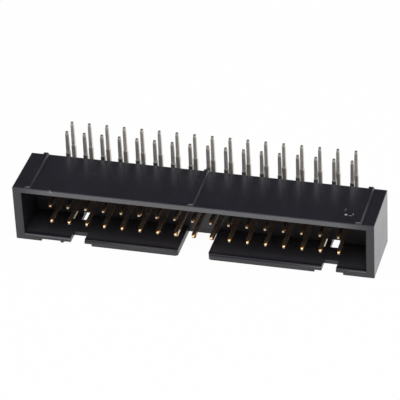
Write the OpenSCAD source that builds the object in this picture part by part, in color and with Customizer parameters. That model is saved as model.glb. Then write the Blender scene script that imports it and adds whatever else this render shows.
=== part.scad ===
// Right-angle box header for a two-row ribbon-cable plug.
// The housing lies on its keyed wall, and the solder tails stand up behind it.
// X runs along the rows, Y from the mating face to the tails, and Z up along the tails.

/* [Rows] */
// Number of columns, with a lower and an upper contact in each
columns = 17; // [8:1:29]
// Distance between columns, and between the two rows
pitch = 2.54; // [2.4:0.01:2.7]
// Height of the line midway between the two rows, above the outer face of the keyed wall
row_mid_z = 4.25; // [4:0.05:4.5]

/* [Housing] */
// Distance from the middle of the first or last column to the outer end of the housing
end_margin = 5.08; // [4.6:0.02:7]
// Height of the housing, from the keyed wall to the board wall
body_h = 8.5; // [8.3:0.05:10]
// Depth of the housing, from the mating face to the back
body_d = 8.95; // [8.4:0.05:12]
// Depth of the socket that takes the plug
socket_d = 6.25; // [5.5:0.05:6.6]
// Thickness of the two end walls
end_wall = 1.2; // [0.8:0.05:1.6]
// Thickness of the wall that faces the circuit board
board_wall = 0.82; // [0.7:0.02:1.1]
// Thickness of the wall with the key slot
key_wall = 0.92; // [0.7:0.02:1.1]
// Radius along the four outer edges that run from front to back
body_edge_r = 0.12; // [0.05:0.01:0.3]
// Length of the bevel that leads the plug in over the keyed wall
key_lead_in = 0.3; // [0.1:0.05:0.45]
// Length of the bevels that lead the plug in past the end walls
end_lead_in = 0.15; // [0.05:0.05:0.4]

/* [Key slot] */
// Width of the polarising slot at the middle of the keyed wall
key_slot_w = 4.3; // [4.1:0.1:5]
// Radius of the wall's corners at the mouth of the slot
key_slot_r = 0.45; // [0.2:0.05:0.8]

/* [Latch notches] */
// Width of the two notches
notch_w = 2; // [1.6:0.1:2.4]
// Depth of the notches, from the mating face
notch_d = 1.8; // [1.2:0.1:2.4]
// Width of the windows behind the notches
window_w = 1.1; // [0.8:0.05:1.4]
// Distance of the windows' middle from the notches' middle, towards the first column
window_shift = 0.3; // [0:0.05:0.6]
// Distance from the mating face to the front edge of the windows
window_y = 4.9; // [3.6:0.05:5.2]
// How far the windows' channel rises into the base, above the floor of the socket
channel_rise = 0.34; // [0.1:0.02:0.6]
// Depth of the outer recess around each notch
recess_d = 0.33; // [0.15:0.01:0.45]
// Margin of the recess on each side of its notch
recess_margin = 1; // [0.5:0.1:1.4]

/* [Pin one mark] */
// How much further the recess reaches, on the side of the first column
mark_recess_w = 3.25; // [2.8:0.05:4]
// Width of the raised triangle at its foot
mark_w = 2; // [1.2:0.1:2.2]
// Width of the triangle's blunt point at the mating face
mark_tip_w = 0.33; // [0.1:0.01:0.6]
// Length of the triangle
mark_l = 1.9; // [1:0.1:2.4]
// Height of the triangle above the floor of its recess
mark_h = 0.25; // [0.1:0.01:0.3]
// Distance from the middle of the notch to the middle of the triangle
mark_offset = 2.3; // [2.1:0.05:2.9]

/* [Stand-off ribs] */
// Width of a rib at its foot
rib_w = 0.95; // [0.7:0.05:1.2]
// Width of a rib along its top
rib_top_w = 0.6; // [0.3:0.02:0.66]
// Height of the ribs, which is the gap between housing and board
rib_h = 0.3; // [0.15:0.05:0.6]
// Distance from the outer end of the housing to the middle of the end ribs
rib_inset = 2.2; // [1:0.1:3]

/* [Contacts] */
// Side of the square wire that the contacts are bent from
wire_w = 0.6; // [0.5:0.01:0.66]
// Radius along the four edges of the wire
wire_edge_r = 0.08; // [0.02:0.01:0.12]
// Distance from the mating face back to the contact tips
tip_recess = 0.65; // [0.2:0.05:1.5]
// Length of the taper at the contact tips
tip_taper = 0.4; // [0.2:0.05:1]
// Side of the small flat at the contact tips
tip_flat = 0.26; // [0.1:0.02:0.4]
// Clearance between a contact and its hole in the base, on each side
hole_clearance = 0.01; // [0.005:0.005:0.05]

/* [Tails] */
// Distance from the back of the housing to the middle of the nearer row of tails
tail_gap = 1.07; // [0.9:0.01:2]
// Radius of the bends, at the middle of the wire
bend_r = 0.75; // [0.5:0.05:0.85]
// Length of tail beyond the ribs, which goes through the board
tail_reach = 3.12; // [2:0.02:5]
// Side of the slimmed part of the tails, below their tips
tail_w = 0.41; // [0.35:0.01:0.44]
// Side of the slimmed part at its shoulder
tail_root_w = 0.47; // [0.44:0.01:0.5]
// Length of the slimmed part on the nearer row
near_slim_l = 3.3; // [2:0.05:4]
// Length of the slimmed part on the farther row
far_slim_l = 3.7; // [2:0.05:4.5]
// Length of the shoulder where a tail gets slimmer
shoulder_l = 0.2; // [0.05:0.05:0.5]
// Length of the taper at the tail tips
tail_taper = 0.45; // [0.1:0.05:0.6]
// Side of the flat at the tail tips
tail_flat = 0.32; // [0.15:0.01:0.34]

/* [Hidden] */
$fn = 32;
over = 1;  // how far a cut runs past the face that it opens
sink = 0.1;  // how far a raised shape runs into the face that it stands on
row_l = (columns - 1) * pitch;
body_l = row_l + 2 * end_margin;
lower_z = row_mid_z - pitch / 2;
upper_z = row_mid_z + pitch / 2;
near_y = body_d + tail_gap;
far_y = near_y + pitch;
tail_top_z = body_h + rib_h + tail_reach;
overall_d = far_y + wire_w / 2;
socket_l = body_l - 2 * end_wall;
socket_h = body_h - key_wall - board_wall;
first_notch_x = column_x(2.5);
last_notch_x = column_x(columns - 0.5);
rib_span = body_l / 2 - rib_inset;

LOWER = 0;
UPPER = 1;
contact_count = 2 * columns;
// Contacts are numbered as on the cable: odd ones in the lower row, even ones in the upper.
function contact_name(n) = str("contact_", n < 10 ? "0" : "", n);
function contact_column(n) = ceil(n / 2);
function contact_row(n) = n % 2 == 1 ? LOWER : UPPER;
function column_x(c) = (c - (columns + 1) / 2) * pitch;

// Moves the mating face from Y = 0 to where the whole header is centred front to back.
module placed() {
    translate([0, -overall_d / 2, 0]) children();
}

// Extrudes an outline drawn in X and Z, from Y = 0 back.
module extrude_back(length) {
    translate([0, length, 0]) rotate([90, 0, 0]) linear_extrude(length) children();
}

// Extrudes an outline drawn in Y and Z, to both sides of X = 0.
module extrude_across(width) {
    rotate([90, 0, 90]) linear_extrude(width, center = true) children();
}

// A square with round corners, centred on the origin.
module round_square(size, r) {
    inner = [size.x - 2 * r, size.y - 2 * r];
    square([size.x, inner.y], center = true);
    square([inner.x, size.y], center = true);
    for (x = [-1, 1], y = [-1, 1])
        translate([x * inner.x / 2, y * inner.y / 2]) circle(r);
}

// ---- Housing ----

module body_block() {
    extrude_back(body_d)
        translate([0, body_h / 2]) round_square([body_l, body_h], body_edge_r);
}

// A rib has sloping flanks, and its front end is a quarter round as high as the rib.
module standoff_rib() {
    intersection() {
        extrude_back(body_d) polygon([
            [-rib_w / 2, -sink],
            [rib_w / 2, -sink],
            [rib_w / 2, 0],
            [rib_top_w / 2, rib_h],
            [-rib_top_w / 2, rib_h],
            [-rib_w / 2, 0]
        ]);
        extrude_across(rib_w) {
            translate([rib_h, 0]) circle(rib_h);
            translate([rib_h, -sink]) square([body_d - rib_h, rib_h + sink]);
            translate([0, -sink]) square([rib_h, sink]);
        }
    }
}

// Three ribs that hold the housing off the board.
module standoff_ribs() {
    for (x = [-rib_span, 0, rib_span])
        translate([x, 0, body_h]) standoff_rib();
}

module socket() {
    translate([-socket_l / 2, -over, key_wall])
        cube([socket_l, socket_d + over, socket_h]);
}

// The bevels round the mouth, as the overlap of a plan and a side profile.
module socket_lead_in() {
    half = socket_l / 2;
    top = body_h - board_wall;
    intersection() {
        linear_extrude(top) polygon([
            [-half, end_lead_in],
            [-half - end_lead_in - over, -over],
            [half + end_lead_in + over, -over],
            [half, end_lead_in]
        ]);
        extrude_across(body_l) polygon([
            [-over, key_wall - key_lead_in - over],
            [key_lead_in, key_wall],
            [key_lead_in, top],
            [-over, top]
        ]);
    }
}

// The key slot is open at the mouth, where the wall's corners are round.
module key_slot() {
    half = key_slot_w / 2;
    translate([0, 0, -over]) linear_extrude(key_wall + 2 * over) {
        translate([-half, -over]) square([key_slot_w, socket_d + over]);
        difference() {
            translate([-half - key_slot_r, -over])
                square([key_slot_w + 2 * key_slot_r, key_slot_r + over]);
            for (side = [-1, 1])
                translate([side * (half + key_slot_r), key_slot_r]) circle(key_slot_r);
        }
    }
}

// A notch at the mouth, and behind it the window that a channel opens to the back.
module latch_notch(x) {
    translate([x - notch_w / 2, -over, -over])
        cube([notch_w, notch_d + over, key_wall + 2 * over]);
    translate([x - window_shift - window_w / 2, window_y, -over])
        cube([window_w, body_d - window_y + over, key_wall + channel_rise + over]);
}

// The outer face is set back round a notch, from the mating face to the back.
module notch_recess(x, extra_left) {
    width = notch_w + 2 * recess_margin + extra_left;
    translate([x - notch_w / 2 - recess_margin - extra_left, -over, -over])
        cube([width, body_d + 2 * over, recess_d + over]);
}

module pin_one_mark() {
    translate([first_notch_x - mark_offset, 0, recess_d - mark_h])
        linear_extrude(mark_h + sink) polygon([
            [-mark_tip_w / 2, 0],
            [mark_tip_w / 2, 0],
            [mark_w / 2, mark_l],
            [-mark_w / 2, mark_l]
        ]);
}

module contact_holes() {
    w = wire_w + 2 * hole_clearance;
    for (c = [1 : columns], z = [lower_z, upper_z])
        translate([column_x(c), socket_d - over, z])
            extrude_back(body_d - socket_d + 2 * over)
                round_square([w, w], wire_edge_r + hole_clearance);
}

module housing() {
    color("#1c1c1f") placed() {
        difference() {
            union() {
                body_block();
                standoff_ribs();
            }
            socket();
            socket_lead_in();
            key_slot();
            latch_notch(first_notch_x);
            latch_notch(last_notch_x);
            notch_recess(first_notch_x, mark_recess_w);
            notch_recess(last_notch_x, 0);
            contact_holes();
        }
        pin_one_mark();
    }
}

// ---- Contacts ----

// A straight length of the wire along +Z. widths lists [height, side] pairs from
// foot to tip, and the wire is trimmed to them on all four sides.
module trimmed_wire(widths) {
    length = widths[len(widths) - 1][0];
    outline = concat(
        [for (p = widths) [p[1] / 2, p[0]]],
        [for (i = [len(widths) - 1 : -1 : 0]) [-widths[i][1] / 2, widths[i][0]]]
    );
    intersection() {
        linear_extrude(length) round_square([wire_w, wire_w], wire_edge_r);
        rotate([90, 0, 0]) linear_extrude(2 * wire_w, center = true) polygon(outline);
        rotate([90, 0, 90]) linear_extrude(2 * wire_w, center = true) polygon(outline);
    }
}

// The stretch from the plug side to the bend, tip towards the mating face.
module contact_blade(length) {
    rotate([90, 0, 0])
        trimmed_wire([[0, wire_w], [length - tip_taper, wire_w], [length, tip_flat]]);
}

// The stretch from the bend up through the board.
module contact_tail(length, slim_l) {
    trimmed_wire([
        [0, wire_w],
        [length - slim_l - shoulder_l, wire_w],
        [length - slim_l, tail_root_w],
        [length - tail_taper, tail_w],
        [length, tail_flat]
    ]);
}

// A quarter turn from running back to running up.
module contact_bend() {
    rotate([0, 90, 0]) rotate_extrude(angle = 90)
        translate([bend_r, 0]) round_square([wire_w, wire_w], wire_edge_r);
}

module contact(row, column) {
    z = row == LOWER ? lower_z : upper_z;
    tail_y = row == LOWER ? far_y : near_y;
    slim_l = row == LOWER ? far_slim_l : near_slim_l;
    bend_y = tail_y - bend_r;
    color("#c9a35a") placed() translate([column_x(column), 0, 0]) {
        translate([0, bend_y, z]) contact_blade(bend_y - tip_recess);
        translate([0, bend_y, z + bend_r]) contact_bend();
        translate([0, tail_y, z + bend_r])
            contact_tail(tail_top_z - z - bend_r, slim_l);
    }
}

housing();
for (n = [1 : contact_count])
    contact(contact_row(n), contact_column(n));
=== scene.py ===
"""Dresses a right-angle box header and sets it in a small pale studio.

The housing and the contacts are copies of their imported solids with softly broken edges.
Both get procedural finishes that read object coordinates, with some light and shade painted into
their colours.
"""

import logging
import math
from dataclasses import dataclass, field
from enum import Enum
from typing import Callable, Iterable, Sequence, Union

import bmesh
import bpy
from bmesh.types import BMEdge
from bpy.types import Material, Node, NodeSocket, NodeTree, Object
from mathutils import Matrix, Vector


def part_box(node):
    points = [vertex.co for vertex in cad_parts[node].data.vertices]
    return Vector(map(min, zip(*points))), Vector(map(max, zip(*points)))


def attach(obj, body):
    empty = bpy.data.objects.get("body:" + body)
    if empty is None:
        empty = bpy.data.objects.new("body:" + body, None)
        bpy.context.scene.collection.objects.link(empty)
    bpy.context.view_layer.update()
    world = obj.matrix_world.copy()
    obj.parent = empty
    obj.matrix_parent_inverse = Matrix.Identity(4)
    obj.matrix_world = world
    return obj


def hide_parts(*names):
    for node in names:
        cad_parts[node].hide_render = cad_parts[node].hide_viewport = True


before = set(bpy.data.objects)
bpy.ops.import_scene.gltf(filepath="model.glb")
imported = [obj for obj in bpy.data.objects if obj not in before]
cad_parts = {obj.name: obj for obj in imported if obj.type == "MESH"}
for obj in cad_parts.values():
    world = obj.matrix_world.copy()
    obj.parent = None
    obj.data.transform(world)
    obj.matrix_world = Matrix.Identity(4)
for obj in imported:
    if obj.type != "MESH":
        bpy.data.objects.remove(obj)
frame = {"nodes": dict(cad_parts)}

MM = 0.001
log = logging.getLogger("box_header")

Triple = tuple[float, float, float]
Input = Union[NodeSocket, float, Sequence[float]]


class Place(Enum):
    """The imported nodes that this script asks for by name."""

    HOUSING = "housing"
    FIRST_CONTACT = "contact_01"
    SECOND_CONTACT = "contact_02"


class Slot(Enum):
    """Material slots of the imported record."""

    PLASTIC = "housing_plastic"
    METAL = "contact_metal"


# ---- Node graphs ----


class Graph:
    """Adds nodes to one tree and joins them up."""

    def __init__(self, tree: NodeTree) -> None:
        """Starts on a tree.

        Args:
            tree: The node tree of a material, a world or a node group.
        """
        self.tree = tree

    def node(self, kind: str, **settings: object) -> Node:
        """Adds a node.

        Args:
            kind: The node's type name.
            settings: Properties to set on it.

        Returns:
            The new node.
        """
        made = self.tree.nodes.new(kind)
        for name, value in settings.items():
            setattr(made, name, value)
        return made

    def feed(self, socket: NodeSocket, value: Input) -> None:
        """Joins a socket to another one, or sets its value.

        Args:
            socket: The input to feed.
            value: An output socket, a number, or a sequence of numbers.
        """
        if isinstance(value, NodeSocket):
            self.tree.links.new(value, socket)
        elif isinstance(value, (int, float)):
            socket.default_value = value
        else:
            room = len(socket.default_value)
            padded = list(value) + [1.0] * (room - len(value))
            socket.default_value = padded

    def maths(self, operation: str, *inputs: Input, clamp: bool = False) -> NodeSocket:
        """Does arithmetic.

        Args:
            operation: The Math node's operation.
            inputs: Its operands.
            clamp: Whether the result stays between 0 and 1.

        Returns:
            The result.
        """
        made = self.node("ShaderNodeMath", operation=operation, use_clamp=clamp)
        for socket, value in zip(made.inputs, inputs):
            self.feed(socket, value)
        return made.outputs[0]

    def span(self, value: Input, low: float, high: float,
             start: float = 0.0, end: float = 1.0) -> NodeSocket:
        """Maps a value smoothly from one range to another, and holds it at the ends.

        Args:
            value: What to map.
            low: Value that gives start.
            high: Value that gives end.
            start: Result at low.
            end: Result at high.

        Returns:
            The mapped value.
        """
        made = self.node("ShaderNodeMapRange", interpolation_type="SMOOTHSTEP")
        for name, given in (("Value", value), ("From Min", low), ("From Max", high),
                            ("To Min", start), ("To Max", end)):
            self.feed(made.inputs[name], given)
        return made.outputs["Result"]

    def noise(self, vector: Input, scale: Input, detail: float = 2.0,
              rough: float = 0.5) -> NodeSocket:
        """Samples soft noise.

        Args:
            vector: Where to sample.
            scale: How fine it is, in features per metre.
            detail: How many finer layers are added.
            rough: How strong the finer layers are.

        Returns:
            A value that centres on 0.5.
        """
        made = self.node("ShaderNodeTexNoise")
        self.feed(made.inputs["Vector"], vector)
        self.feed(made.inputs["Scale"], scale)
        self.feed(made.inputs["Detail"], detail)
        self.feed(made.inputs["Roughness"], rough)
        return made.outputs["Fac"]

    def blend(self, factor: Input, first: Input, second: Input) -> NodeSocket:
        """Mixes two colours.

        Args:
            factor: 0 for the first colour, 1 for the second.
            first: The first colour.
            second: The second colour.

        Returns:
            The mixed colour.
        """
        made = self.node("ShaderNodeMix", data_type="RGBA")
        self.feed(made.inputs[0], factor)
        self.feed(made.inputs[6], first)
        self.feed(made.inputs[7], second)
        return made.outputs[2]

    def place(self) -> NodeSocket:
        """Gives the object coordinates."""
        return self.node("ShaderNodeTexCoord").outputs["Object"]

    def axes(self, vector: Input) -> tuple[NodeSocket, NodeSocket, NodeSocket]:
        """Splits a vector into its three coordinates.

        Args:
            vector: The vector.

        Returns:
            Its X, Y and Z.
        """
        made = self.node("ShaderNodeSeparateXYZ")
        self.feed(made.inputs[0], vector)
        return made.outputs[0], made.outputs[1], made.outputs[2]

    def turned(self, vector: Input, centre: Triple, angle: float) -> NodeSocket:
        """Moves and turns coordinates about Z, so that centre becomes the origin.

        Args:
            vector: The coordinates.
            centre: The point that becomes the origin, in metres.
            angle: The direction that becomes the X axis, in radians.

        Returns:
            The new coordinates.
        """
        made = self.node("ShaderNodeMapping", vector_type="TEXTURE")
        self.feed(made.inputs["Vector"], vector)
        self.feed(made.inputs["Location"], centre)
        self.feed(made.inputs["Rotation"], (0.0, 0.0, angle))
        return made.outputs["Vector"]

    def use(self, effect: NodeTree, **inputs: Input) -> Node:
        """Places a node group.

        Args:
            effect: The group's tree.
            inputs: Values for its inputs, with _ for each space of their names.

        Returns:
            The group node, whose outputs are read by name.
        """
        made = self.node("ShaderNodeGroup", node_tree=effect)
        for name, value in inputs.items():
            self.feed(made.inputs[name.replace("_", " ")], value)
        return made


def new_effect(name: str, inputs: dict[str, tuple[str, object]],
               outputs: dict[str, str]) -> tuple[NodeTree, Graph, Node, Node]:
    """Starts a node group with named sockets.

    Args:
        name: The group's name.
        inputs: Socket types and default values by input name.
        outputs: Socket types by output name.

    Returns:
        The tree, its graph, and its input and output nodes.
    """
    tree = bpy.data.node_groups.new(name, "ShaderNodeTree")
    for label, (kind, value) in inputs.items():
        socket = tree.interface.new_socket(label, in_out="INPUT", socket_type=kind)
        socket.default_value = value
    for label, kind in outputs.items():
        tree.interface.new_socket(label, in_out="OUTPUT", socket_type=kind)
    graph = Graph(tree)
    return tree, graph, graph.node("NodeGroupInput"), graph.node("NodeGroupOutput")


FLOAT = "NodeSocketFloat"
VECTOR = "NodeSocketVector"


@dataclass
class Effects:
    """Surface effects that several finishes share, each built once."""

    grain: NodeTree = field(init=False)
    specks: NodeTree = field(init=False)

    def build(self) -> None:
        """Builds the node groups."""
        self.grain = self._build_grain()
        self.specks = self._build_specks()

    @staticmethod
    def _build_grain() -> NodeTree:
        """Makes a fine surface grain over slow patches.

        Returns:
            A group with the outputs Height and Patches.
        """
        tree, graph, given, result = new_effect(
            "surface_grain",
            {"Vector": (VECTOR, (0.0, 0.0, 0.0)), "Fineness": (FLOAT, 9000.0),
             "Patch Size": (FLOAT, 300.0)},
            {"Height": FLOAT, "Patches": FLOAT},
        )
        fine = graph.noise(given.outputs["Vector"], given.outputs["Fineness"], 3.0, 0.6)
        slow = graph.noise(given.outputs["Vector"], given.outputs["Patch Size"], 4.0, 0.55)
        graph.feed(result.inputs["Height"], fine)
        graph.feed(result.inputs["Patches"], slow)
        return tree

    @staticmethod
    def _build_specks() -> NodeTree:
        """Makes scattered specks of dust, thicker in some patches than in others.

        Returns:
            A group with the output Mask.
        """
        tree, graph, given, result = new_effect(
            "dust_specks",
            {"Vector": (VECTOR, (0.0, 0.0, 0.0)), "Fineness": (FLOAT, 1400.0),
             "Size": (FLOAT, 0.12), "Share": (FLOAT, 0.3)},
            {"Mask": FLOAT},
        )
        cells = graph.node("ShaderNodeTexVoronoi", feature="F1")
        graph.feed(cells.inputs["Vector"], given.outputs["Vector"])
        graph.feed(cells.inputs["Scale"], given.outputs["Fineness"])
        colour = graph.node("ShaderNodeSeparateColor")
        graph.feed(colour.inputs[0], cells.outputs["Color"])
        chosen = graph.maths("LESS_THAN", colour.outputs[0], given.outputs["Share"])
        radius = graph.maths("MULTIPLY", colour.outputs[1], given.outputs["Size"])
        inside = graph.maths("LESS_THAN", cells.outputs["Distance"], radius)
        faded = graph.maths("MULTIPLY", inside, colour.outputs[2])
        graph.feed(result.inputs["Mask"], graph.maths("MULTIPLY", faded, chosen))
        return tree


def new_material(name: str) -> tuple[Material, Graph, Node]:
    """Starts a material on one Principled shader.

    Args:
        name: The material's name.

    Returns:
        The material, its graph and its shader node.
    """
    material = bpy.data.materials.new(name)
    material.use_nodes = True
    graph = Graph(material.node_tree)
    return material, graph, material.node_tree.nodes["Principled BSDF"]


# ---- Finishes ----


@dataclass(frozen=True)
class Mark:
    """A short straight mark on the board face, which may run over its front edge.

    Beyond the front edge, Y goes on down the rim as if the two faces were one sheet.

    Attributes:
        start: One end, in millimetres.
        end: The other end, in millimetres.
        width: Its width, in millimetres.
        strength: How plainly it shows, from 0 to 1.
    """

    start: tuple[float, float]
    end: tuple[float, float]
    width: float
    strength: float

    def mask(self, graph: Graph, place: NodeSocket) -> NodeSocket:
        """Draws the mark.

        Args:
            graph: The graph of the material.
            place: Object coordinates, with the rim unrolled into the board face.

        Returns:
            A mask with soft ends and sides.
        """
        start, end = Vector(self.start), Vector(self.end)
        middle = (start + end) / 2
        run = end - start
        local = graph.turned(place, (middle.x * MM, middle.y * MM, 0.0),
                             math.atan2(run.y, run.x))
        along, across, _ = graph.axes(local)
        half_l, half_w = run.length / 2 * MM, self.width / 2 * MM
        ends = graph.span(graph.maths("ABSOLUTE", along), half_l * 0.7, half_l * 1.1, 1, 0)
        sides = graph.span(graph.maths("ABSOLUTE", across), half_w * 0.5, half_w, 1, 0)
        both = graph.maths("MULTIPLY", ends, sides)
        return graph.maths("MULTIPLY", both, self.strength)


@dataclass(frozen=True)
class MouldedPlastic:
    """Black glass-filled plastic with dust, with a paler socket painted as light and a painted
    reflection along its board rim, its mating face and its end faces.

    Attributes:
        base: Colour of the outside.
        painted_socket_light: Colour inside the socket, paler than the outside: painted light that
            stands in for light reaching into it.
        painted_reflection: Colour of the painted reflection on the board rim, the mating face and
            the end faces.
        dust: Colour of dust and marks.
        inner_roughness: Roughness of the socket and of the faces around it.
        end_roughness: Roughness of the two end faces.
        outer_roughness: Roughness of the board face.
        rim_roughness: Roughness of the board rim, under its painted reflection.
        front_painted_reflection: How strong the painted reflection is on the rest of the mating
            face.
        end_painted_reflection: How strong the painted reflection is on the end faces.
        end_wall: Thickness that the masks leave to the end walls.
        key_wall: Thickness that they leave to the keyed wall.
        ior: Refractive index.
        marks: Marks on the board face.
    """

    base: Triple = (0.0086, 0.0080, 0.0136)
    painted_socket_light: Triple = (0.026, 0.025, 0.030)
    painted_reflection: Triple = (0.116, 0.113, 0.123)
    dust: Triple = (0.42, 0.40, 0.36)
    inner_roughness: float = 0.28
    end_roughness: float = 0.16
    outer_roughness: float = 0.28
    rim_roughness: float = 0.5
    front_painted_reflection: float = 0.1
    end_painted_reflection: float = 0.52
    end_wall: float = 1.2 * MM
    key_wall: float = 0.8 * MM
    ior: float = 1.58
    marks: tuple[Mark, ...] = ()

    def build(self, effects: Effects, half_length: float, rim: tuple[float, float],
              front: float) -> Material:
        """Makes the material.

        Args:
            effects: The shared node groups.
            half_length: Half of the housing's length.
            rim: Lowest and highest Z of the board wall's rim.
            front: Y of the mating face.

        Returns:
            The finished material.
        """
        material, graph, shader = new_material("moulded_plastic")
        place = graph.place()
        grain = graph.use(effects.grain, Vector=place, Fineness=7000.0, Patch_Size=260.0)
        patches = graph.span(grain.outputs["Patches"], 0.38, 0.66)
        colour = graph.blend(patches, self.base, tuple(1.2 * c for c in self.base))

        x, y, z = graph.axes(place)
        off_centre = graph.maths("ABSOLUTE", x)
        depth = graph.maths("SUBTRACT", y, front)
        # Painted light: the inside of the socket gets a paler colour that stands in for light
        # reaching into it.
        painted_light_inside = self._painted_socket_light_mask(graph, off_centre, depth, z, half_length, rim[0])
        colour = graph.blend(painted_light_inside, colour, self.painted_socket_light)

        # Painted reflection: the board rim, fading towards its ends, the rest of the mating face
        # and the end faces get a paler colour that stands in for reflected light.
        rim_painted_reflection = self._painted_rim_reflection_mask(graph, off_centre, depth, z, half_length, rim)
        front_painted_reflection = graph.span(depth, 0.03 * MM, 0.1 * MM, self.front_painted_reflection, 0)
        on_end = graph.span(off_centre, half_length - 0.06 * MM, half_length - 0.02 * MM)
        end_painted_reflection = graph.maths("MULTIPLY", on_end, self.end_painted_reflection)
        face_painted_reflection = graph.maths("MAXIMUM", front_painted_reflection, end_painted_reflection)
        colour = graph.blend(graph.maths("MAXIMUM", rim_painted_reflection, face_painted_reflection), colour, self.painted_reflection)

        upward = graph.span(z, rim[1] - 0.15 * MM, rim[1])
        specks = graph.use(effects.specks, Vector=place, Fineness=2600.0, Size=0.22, Share=0.1)
        fluff = graph.maths("MULTIPLY", specks.outputs["Mask"],
                            graph.maths("MULTIPLY_ADD", upward, 0.25, 0.04))
        fluff = graph.maths("MAXIMUM", fluff, self._mark_mask(graph, x, y, z, rim))
        colour = graph.blend(fluff, colour, self.dust)

        graph.feed(shader.inputs["Base Color"], colour)
        level = graph.maths("MULTIPLY_ADD", upward,
                            self.outer_roughness - self.inner_roughness, self.inner_roughness)
        level = graph.maths("MULTIPLY_ADD", patches, 0.04, level)
        level = graph.maths("MULTIPLY_ADD", on_end, self.end_roughness - self.inner_roughness,
                            level)
        level = graph.maths("MAXIMUM", level,
                            graph.maths("MULTIPLY", rim_painted_reflection, self.rim_roughness))
        level = graph.maths("MULTIPLY_ADD", fluff, 0.4, level, clamp=True)
        graph.feed(shader.inputs["Roughness"], level)
        shader.inputs["IOR"].default_value = self.ior
        bump = graph.node("ShaderNodeBump")
        bump.inputs["Strength"].default_value = 0.25
        bump.inputs["Distance"].default_value = 0.004 * MM
        graph.feed(bump.inputs["Height"], grain.outputs["Height"])
        graph.feed(shader.inputs["Normal"], bump.outputs["Normal"])
        return material

    def _painted_socket_light_mask(self, graph: Graph, off_centre: NodeSocket, depth: NodeSocket,
                     z: NodeSocket, half_length: float, ceiling: float) -> NodeSocket:
        """Masks the inside of the socket, where a paler colour is painted as light.

        Args:
            graph: The graph of the material.
            off_centre: Distance from the housing's middle along X.
            depth: Distance behind the mating face.
            z: Height.
            half_length: Half of the housing's length.
            ceiling: Z of the socket's upper side.

        Returns:
            1 inside the socket, 0 outside.
        """
        inset = half_length - self.end_wall
        between_ends = graph.span(off_centre, inset - 0.1 * MM, inset + 0.1 * MM, 1, 0)
        above_key = graph.span(z, self.key_wall - 0.1 * MM, self.key_wall + 0.1 * MM)
        below_board = graph.span(z, ceiling, ceiling + 0.2 * MM, 1, 0)
        behind_mouth = graph.span(depth, 0.3 * MM, 1.0 * MM)
        return graph.maths("MULTIPLY", graph.maths("MULTIPLY", behind_mouth, between_ends),
                           graph.maths("MULTIPLY", above_key, below_board))

    @staticmethod
    def _painted_rim_reflection_mask(graph: Graph, off_centre: NodeSocket, depth: NodeSocket, z: NodeSocket,
                  half_length: float, rim: tuple[float, float]) -> NodeSocket:
        """Masks the board wall's rim for its painted reflection, which fades towards its ends.

        Args:
            graph: The graph of the material.
            off_centre: Distance from the housing's middle along X.
            depth: Distance behind the mating face.
            z: Height.
            half_length: Half of the housing's length.
            rim: Lowest and highest Z of the rim.

        Returns:
            The mask.
        """
        above = graph.span(z, rim[0] - 0.2 * MM, rim[0] + 0.1 * MM)
        below = graph.span(z, rim[1] - 0.2 * MM, rim[1] - 0.08 * MM, 1, 0)
        on_face = graph.span(depth, 0.03 * MM, 0.1 * MM, 1, 0)
        fade = graph.span(off_centre, 0.78 * half_length, half_length, 1, 0.1)
        return graph.maths("MULTIPLY", graph.maths("MULTIPLY", graph.maths(
            "MULTIPLY", above, below), on_face), fade)

    def _mark_mask(self, graph: Graph, x: NodeSocket, y: NodeSocket, z: NodeSocket,
                   rim: tuple[float, float]) -> NodeSocket:
        """Draws the marks on the board face and its rim, as if they were one sheet.

        Args:
            graph: The graph of the material.
            x: Object X.
            y: Object Y.
            z: Object Z.
            rim: Lowest and highest Z of the board wall's rim.

        Returns:
            The strongest mark at each place.
        """
        unrolled = graph.node("ShaderNodeCombineXYZ")
        graph.feed(unrolled.inputs[0], x)
        graph.feed(unrolled.inputs[1], graph.maths("ADD", y, graph.maths("SUBTRACT", z, rim[1])))
        strongest: Input = 0.0
        for mark in self.marks:
            strongest = graph.maths("MAXIMUM", strongest,
                                    mark.mask(graph, unrolled.outputs[0]))
        on_board = graph.span(z, rim[0] + 0.1 * MM, rim[0] + 0.2 * MM)
        return graph.maths("MULTIPLY", on_board, strongest)


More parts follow.
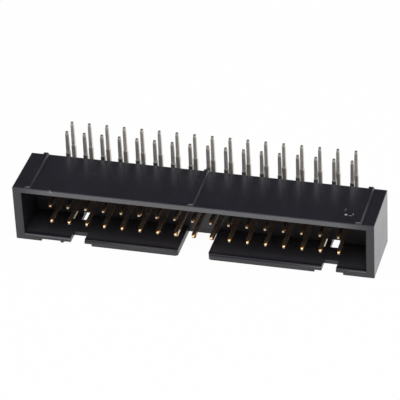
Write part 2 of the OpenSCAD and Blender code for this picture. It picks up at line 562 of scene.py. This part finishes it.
@dataclass(frozen=True)
class PlatedWire:
    """Copper alloy wire: gold on the plug side, dull tin behind, bare where it is cut.

    Attributes:
        gold: Colour of the blades.
        point: Colour of the tapered part of their tips, a darker orange as painted shade.
        end: Colour of the flat ends of their tips.
        tin: Colour of the tails.
        painted_tin_highlight: Colour of the painted highlights at the tails' shoulders and near
            their tips, half mixed into the far row as painted light.
        bare: Colour of the cut tips of the tails.
        gold_roughness: Roughness of the blades.
        gold_metallic: How metallic they are.
        tin_roughness: Roughness of the tails.
        near_slim: Length of the slim part of the tails of the near row.
        far_slim: The same for the far row.
    """

    gold: Triple = (0.95, 0.72, 0.52)
    point: Triple = (0.78, 0.47, 0.21)
    end: Triple = (0.60, 0.47, 0.33)
    tin: Triple = (0.43, 0.41, 0.40)
    painted_tin_highlight: Triple = (0.95, 0.91, 0.84)
    bare: Triple = (0.40, 0.34, 0.29)
    gold_roughness: float = 0.13
    gold_metallic: float = 0.97
    tin_roughness: float = 0.42
    near_slim: float = 3.3 * MM
    far_slim: float = 3.7 * MM

    def build(self, effects: Effects, tip_y: float, change_y: float, tail_top: float,
              between_rows: float) -> Material:
        """Makes the material.

        Args:
            effects: The shared node groups.
            tip_y: Y of the tips of the blades.
            change_y: Y where gold gives way to tin.
            tail_top: Z of the tips of the tails.
            between_rows: Y half way between the two rows of tails.

        Returns:
            The finished material.
        """
        material, graph, shader = new_material("plated_wire")
        place = graph.place()
        grain = graph.use(effects.grain, Vector=place, Fineness=6000.0, Patch_Size=900.0)
        patches = graph.span(grain.outputs["Patches"], 0.3, 0.7)
        x, y, z = graph.axes(place)
        tinned = graph.span(y, change_y - 0.3 * MM, change_y + 0.3 * MM)
        below_tip = graph.maths("SUBTRACT", tail_top, z)
        gold = self._gold_colour(graph, x, y, z, tip_y)
        far_row = graph.span(y, between_rows - 0.2 * MM, between_rows + 0.2 * MM)
        tin = self._tin_colour(graph, patches, far_row, below_tip)
        colour = graph.blend(tinned, gold, tin)
        cut = graph.span(below_tip, 0.1 * MM, 0.17 * MM, 0.7, 0)
        colour = graph.blend(cut, colour, self.bare)
        specks = graph.use(effects.specks, Vector=place, Fineness=2500.0, Size=0.25, Share=0.2)
        dulled = graph.maths("MULTIPLY", graph.maths("MULTIPLY", specks.outputs["Mask"], tinned),
                             0.25)
        colour = graph.blend(dulled, colour, tuple(0.5 * c for c in self.tin))

        graph.feed(shader.inputs["Base Color"], colour)
        metallic = graph.maths("MULTIPLY_ADD", tinned, 1.0 - self.gold_metallic,
                               self.gold_metallic)
        graph.feed(shader.inputs["Metallic"], metallic)
        level = graph.maths("MULTIPLY_ADD", tinned,
                            self.tin_roughness - self.gold_roughness, self.gold_roughness)
        level = graph.maths("MULTIPLY_ADD", graph.maths("MULTIPLY", patches, tinned), 0.08, level)
        level = graph.maths("MULTIPLY_ADD", dulled, 0.5, level, clamp=True)
        graph.feed(shader.inputs["Roughness"], level)
        bump = graph.node("ShaderNodeBump")
        bump.inputs["Strength"].default_value = 0.2
        bump.inputs["Distance"].default_value = 0.003 * MM
        graph.feed(bump.inputs["Height"],
                   graph.maths("MULTIPLY", grain.outputs["Height"], tinned))
        graph.feed(shader.inputs["Normal"], bump.outputs["Normal"])
        return material

    def _gold_colour(self, graph: Graph, x: NodeSocket, y: NodeSocket, z: NodeSocket,
                     tip_y: float) -> NodeSocket:
        """Colours the blades, with long streaks, a darker point painted as shade, and a pale end.

        Args:
            graph: The graph of the material.
            x: Object X.
            y: Object Y.
            z: Object Z.
            tip_y: Y of the tips of the blades.

        Returns:
            The colour.
        """
        stretched = graph.node("ShaderNodeCombineXYZ")
        for socket, coordinate, squeeze in zip(stretched.inputs, (x, y, z), (1.0, 0.04, 1.0)):
            graph.feed(socket, graph.maths("MULTIPLY", coordinate, squeeze))
        streaks = graph.span(graph.noise(stretched.outputs[0], 5000.0), 0.35, 0.65)
        colour = graph.blend(streaks, tuple(0.9 * c for c in self.gold), self.gold)
        behind_tip = graph.maths("SUBTRACT", y, tip_y)
        # Painted shade: the tapered point of each blade gets a darker orange.
        painted_point_shade_mask = graph.span(behind_tip, 0.3 * MM, 0.5 * MM, 1, 0)
        on_end = graph.span(behind_tip, 0.01 * MM, 0.04 * MM, 1, 0)
        return graph.blend(on_end, graph.blend(painted_point_shade_mask, colour, self.point), self.end)

    def _tin_colour(self, graph: Graph, patches: NodeSocket, far_row: NodeSocket,
                    below_tip: NodeSocket) -> NodeSocket:
        """Colours the tails with painted light: the far row paler, and painted highlights at the
        shoulders and near the tips.

        Args:
            graph: The graph of the material.
            patches: Slow patches.
            far_row: 1 on the tails of the far row, 0 on the near row.
            below_tip: Distance below the tips of the tails.

        Returns:
            The colour.
        """
        colour = graph.blend(patches, tuple(0.88 * c for c in self.tin), self.tin)
        # Painted light: the far row of tails is paler.
        colour = graph.blend(graph.maths("MULTIPLY", far_row, 0.5), colour, self.painted_tin_highlight)
        slim = graph.maths("MULTIPLY_ADD", far_row, self.far_slim - self.near_slim,
                           self.near_slim)
        # Painted highlights: pale bands at the shoulders and near the tips.
        off_shoulder = graph.maths("ABSOLUTE", graph.maths("SUBTRACT", below_tip, slim))
        painted_shoulder_highlight = graph.maths("MULTIPLY", graph.span(off_shoulder, 0.1 * MM, 0.24 * MM, 1, 0),
                               graph.maths("MULTIPLY_ADD", far_row, 0.5, 0.35))
        painted_tip_highlight = graph.span(below_tip, 0.45 * MM, 0.6 * MM, 0.3, 0)
        return graph.blend(graph.maths("MAXIMUM", painted_shoulder_highlight, painted_tip_highlight), colour, self.painted_tin_highlight)


# ---- Pieces ----


def dress(piece: Object, material: Material) -> None:
    """Gives an object one material in all of its slots.

    Args:
        piece: The object.
        material: The material.
    """
    if not piece.material_slots:
        piece.data.materials.append(material)
    for slot in piece.material_slots:
        slot.material = material


@dataclass(frozen=True)
class EdgeBreak:
    """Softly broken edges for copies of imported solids.

    Attributes:
        width: Width of the broken edges, in metres.
        segments: Number of strips across each.
        sharp_angle: Edges that bend less than this are left alone.
        flat_limit: Faces whose normal follows an axis this closely are shaded flat.
        merge: Corners closer than this are one corner, in metres.
        flat_angle: Neighbouring triangles that bend less than this are one face.
        crease: Edges that bend more than this stay creased in the shading.
    """

    width: float
    segments: int = 2
    sharp_angle: float = math.radians(25)
    flat_limit: float = 0.99999
    merge: float = 0.0005 * MM
    flat_angle: float = math.radians(0.5)
    crease: float = math.radians(40)

    def copy(self, source: Object, name: str, wanted: Callable[[BMEdge], bool]) -> Object:
        """Copies a solid's mesh, makes whole faces of its triangles and breaks its edges.

        Args:
            source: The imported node, which the copy replaces.
            name: The copy's name.
            wanted: Tells whether an outer edge gets broken.

        Returns:
            The copy.
        """
        shape = bmesh.new()
        shape.from_mesh(source.data)
        bmesh.ops.remove_doubles(shape, verts=shape.verts, dist=self.merge)
        bmesh.ops.dissolve_limit(shape, angle_limit=self.flat_angle, verts=shape.verts,
                                 edges=shape.edges, delimit=set())
        shape.normal_update()
        edges = [edge for edge in shape.edges if self._is_sharp(edge) and wanted(edge)]
        bmesh.ops.bevel(shape, geom=edges, offset=self.width, offset_type="OFFSET",
                        segments=self.segments, profile=0.5, affect="EDGES", material=-1,
                        clamp_overlap=True)
        mesh = bpy.data.meshes.new(name)
        shape.to_mesh(mesh)
        shape.free()
        if "custom_normal" in mesh.attributes:
            mesh.attributes.remove(mesh.attributes["custom_normal"])
        mesh.set_sharp_from_angle(angle=self.crease)
        for face in mesh.polygons:
            face.use_smooth = max(abs(part) for part in face.normal) < self.flat_limit
        piece = bpy.data.objects.new(name, mesh)
        bpy.context.scene.collection.objects.link(piece)
        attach(piece, "root")
        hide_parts(source.name)
        return piece

    def _is_sharp(self, edge: BMEdge) -> bool:
        """Tells whether two faces meet at an outer corner along an edge.

        Args:
            edge: The edge.

        Returns:
            Whether it is sharp.
        """
        return (len(edge.link_faces) == 2 and edge.is_convex
                and edge.calc_face_angle(0.0) > self.sharp_angle)


@dataclass
class Housing:
    """The moulded housing: a copy of its solid with its sharp edges broken."""

    edges: EdgeBreak = EdgeBreak(width=0.045 * MM)
    mouth_depth: float = 6.0 * MM
    outline_margin: float = 1.3 * MM
    rib_height: float = 0.3 * MM
    board_wall: float = 0.9 * MM
    piece: Object = field(init=False)

    def build(self, source: Object) -> None:
        """Breaks the edges around the mouth and the outline of the back.

        Args:
            source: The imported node.
        """
        low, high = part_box(Place.HOUSING.value)
        mouth_end = float(low[1]) + self.mouth_depth
        back = float(high[1]) - 0.01 * MM

        def wanted(edge: BMEdge) -> bool:
            """Picks the edges of the mouth and of the back's outline."""
            nearest = min(v.co.y for v in edge.verts)
            return nearest < mouth_end or (nearest > back and self._is_outline(edge, low, high))

        self.piece = self.edges.copy(source, "moulded_housing", wanted)

    def _is_outline(self, edge: BMEdge, low: Vector, high: Vector) -> bool:
        """Tells whether an edge of the back lies on the housing's outline.

        Args:
            edge: The edge.
            low: Lowest corner of the housing's box.
            high: Highest corner of the housing's box.

        Returns:
            Whether it lies there.
        """
        return all(min(v.co.x - low[0], high[0] - v.co.x, v.co.z - low[2],
                       high[2] - v.co.z) < self.outline_margin for v in edge.verts)

    def dress(self, finish: MouldedPlastic, effects: Effects) -> None:
        """Gives the housing its finish.

        Args:
            finish: The plastic.
            effects: The shared node groups.
        """
        low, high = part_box(Place.HOUSING.value)
        top = float(high[2]) - self.rib_height
        material = finish.build(effects, half_length=float(high[0]),
                                rim=(top - self.board_wall, top), front=float(low[1]))
        dress(self.piece, material)


@dataclass
class Contacts:
    """All of the header's contacts: copies of their solids with rounded edges."""

    edges: EdgeBreak = EdgeBreak(width=0.05 * MM)
    tin_start: float = 1.0 * MM
    row_shift: float = 0.2 * MM
    pieces: list[Object] = field(default_factory=list)

    def build(self, nodes: dict[str, Object]) -> None:
        """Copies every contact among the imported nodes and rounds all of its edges.

        Args:
            nodes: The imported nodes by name.
        """
        for name in sorted(nodes):
            if name.startswith("contact_"):
                piece = self.edges.copy(nodes[name], name.replace("contact", "wire"),
                                        lambda edge: True)
                self.pieces.append(piece)

    def dress(self, finish: PlatedWire, effects: Effects) -> None:
        """Gives every contact the plated finish.

        Args:
            finish: The plating.
            effects: The shared node groups.
        """
        _, housing_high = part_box(Place.HOUSING.value)
        first_low, first_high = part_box(Place.FIRST_CONTACT.value)
        _, second_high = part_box(Place.SECOND_CONTACT.value)
        middle = float(first_high[1] + second_high[1]) / 2
        material = finish.build(effects, tip_y=float(first_low[1]),
                                change_y=float(housing_high[1]) - self.tin_start,
                                tail_top=float(first_high[2]),
                                between_rows=middle - self.row_shift)
        for piece in self.pieces:
            dress(piece, material)


# ---- Studio ----


@dataclass
class Studio:
    """A pale floor, soft lights, a dim room above a white horizon, and the camera."""

    floor_size: float = 6.0
    floor_tone: float = 0.9
    floor_glow: float = 0.97
    gloss_glow: float = 0.7
    room_tone: float = 0.10
    horizon: float = 0.10
    horizon_softness: float = 0.12
    camera_at: Triple = (0.0876, -0.30233, 0.2118)
    camera_right: Triple = (0.9666, 0.2527, -0.0422)
    camera_down: Triple = (0.1046, -0.5400, -0.8352)
    camera_forward: Triple = (-0.2338, 0.8029, -0.5484)
    lens: float = 245.5

    def build_floor(self) -> None:
        """Lays the floor, which shines white towards the camera and keeps a soft shadow."""
        shape = bmesh.new()
        bmesh.ops.create_grid(shape, x_segments=4, y_segments=4, size=self.floor_size / 2)
        mesh = bpy.data.meshes.new("floor")
        shape.to_mesh(mesh)
        shape.free()
        floor = bpy.data.objects.new("floor", mesh)
        bpy.context.scene.collection.objects.link(floor)
        material, graph, shader = new_material("pale_floor")
        fibre = graph.noise(graph.place(), 900.0, 3.0)
        tone = graph.span(fibre, 0.3, 0.7, self.floor_tone * 0.99, self.floor_tone)
        mixed = graph.node("ShaderNodeCombineColor")
        for socket in mixed.inputs:
            graph.feed(socket, tone)
        graph.feed(shader.inputs["Base Color"], mixed.outputs[0])
        shader.inputs["Roughness"].default_value = 0.9
        shader.inputs["Specular IOR Level"].default_value = 0.0
        glow = graph.node("ShaderNodeEmission")
        glow.inputs["Strength"].default_value = 1.0
        both = graph.node("ShaderNodeMixShader")
        graph.feed(both.inputs[0], self._glow(graph))
        graph.feed(both.inputs[1], shader.outputs[0])
        graph.feed(both.inputs[2], glow.outputs[0])
        output = graph.tree.nodes["Material Output"]
        graph.feed(output.inputs["Surface"], both.outputs[0])
        dress(floor, material)

    def _glow(self, graph: Graph) -> NodeSocket:
        """Gives the floor's share of white for rays from the camera, gloss and glass.

        Args:
            graph: The graph of the floor's material.

        Returns:
            The share, from 0 to 1.
        """
        path = graph.node("ShaderNodeLightPath")
        polished = graph.maths("MAXIMUM", path.outputs["Is Glossy Ray"],
                               path.outputs["Is Transmission Ray"])
        return graph.maths("MULTIPLY_ADD", path.outputs["Is Camera Ray"], self.floor_glow,
                           graph.maths("MULTIPLY", polished, self.gloss_glow))

    def build_room(self) -> None:
        """Makes the world: white behind the object, and a dim room above the horizon."""
        world = bpy.data.worlds.new("room")
        bpy.context.scene.world = world
        world.use_nodes = True
        graph = Graph(world.node_tree)
        background = world.node_tree.nodes["Background"]
        path = graph.node("ShaderNodeLightPath")
        _, _, height = graph.axes(graph.node("ShaderNodeTexCoord").outputs["Generated"])
        low_white = graph.span(height, self.horizon, self.horizon + self.horizon_softness,
                               1.0, self.room_tone)
        level = graph.maths("MAXIMUM", low_white, path.outputs["Is Camera Ray"])
        graph.feed(background.inputs["Strength"], level)
        background.inputs["Color"].default_value = (1.0, 1.0, 1.0, 1.0)

    def build_lights(self) -> None:
        """Hangs two soft panels, one over the front and one on the right."""
        self._panel("front_panel", at=(0.0, -0.35, 0.75), aim=(0.0, 0.0, 0.0),
                    size=(0.9, 0.5), power=6.0)
        self._panel("side_panel", at=(0.7, 0.2, 0.6), aim=(0.0, 0.0, 0.0),
                    size=(0.5, 0.5), power=2.5)

    @staticmethod
    def _panel(name: str, at: Triple, aim: Triple, size: tuple[float, float],
               power: float) -> None:
        """Hangs one soft panel.

        Args:
            name: Its name.
            at: Where its middle is.
            aim: The point that it faces.
            size: Its width and height.
            power: Its power in watts.
        """
        lamp = bpy.data.lights.new(name, "AREA")
        lamp.shape = "RECTANGLE"
        lamp.size, lamp.size_y = size
        lamp.energy = power
        panel = bpy.data.objects.new(name, lamp)
        panel.location = at
        panel.rotation_euler = (Vector(aim) - Vector(at)).to_track_quat("-Z", "Y").to_euler()
        bpy.context.scene.collection.objects.link(panel)

    def build_camera(self) -> None:
        """Sets up the camera and the view."""
        scene = bpy.context.scene
        scene.view_settings.view_transform = "Standard"
        lens = bpy.data.cameras.new("camera")
        lens.lens = self.lens
        lens.sensor_width = 36.0
        lens.clip_start = 0.01
        lens.clip_end = 20.0
        camera = bpy.data.objects.new("camera", lens)
        axes = Matrix((self.camera_right, [-c for c in self.camera_down],
                       [-c for c in self.camera_forward])).transposed()
        camera.matrix_world = Matrix.Translation(self.camera_at) @ axes.to_4x4()
        scene.collection.objects.link(camera)
        scene.camera = camera


MARKS = (
    Mark(start=(-20.07, -6.23), end=(-19.77, -6.86), width=0.2, strength=0.6),
    Mark(start=(20.96, -4.44), end=(21.30, -4.38), width=0.44, strength=1.0),
    Mark(start=(20.76, -3.55), end=(20.9, -2.9), width=0.14, strength=0.35),
    Mark(start=(21.49, -4.55), end=(22.0, -4.54), width=0.18, strength=0.5),
    Mark(start=(22.01, -3.83), end=(22.09, -4.43), width=0.16, strength=0.45),
)


def main() -> None:
    """Builds the dressed header and its studio."""
    logging.basicConfig(level=logging.INFO, format="%(name)s: %(message)s")
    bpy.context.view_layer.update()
    effects = Effects()
    effects.build()

    studio = Studio()
    studio.build_camera()
    studio.build_floor()
    studio.build_room()
    studio.build_lights()
    log.info("studio built")

    housing = Housing()
    housing.build(frame["nodes"][Place.HOUSING.value])
    housing.dress(MouldedPlastic(marks=MARKS), effects)
    log.info("housing built with %d faces", len(housing.piece.data.polygons))

    contacts = Contacts()
    contacts.build(frame["nodes"])
    contacts.dress(PlatedWire(), effects)
    log.info("%d contacts built and dressed", len(contacts.pieces))


if __name__ == "__main__":
    main()
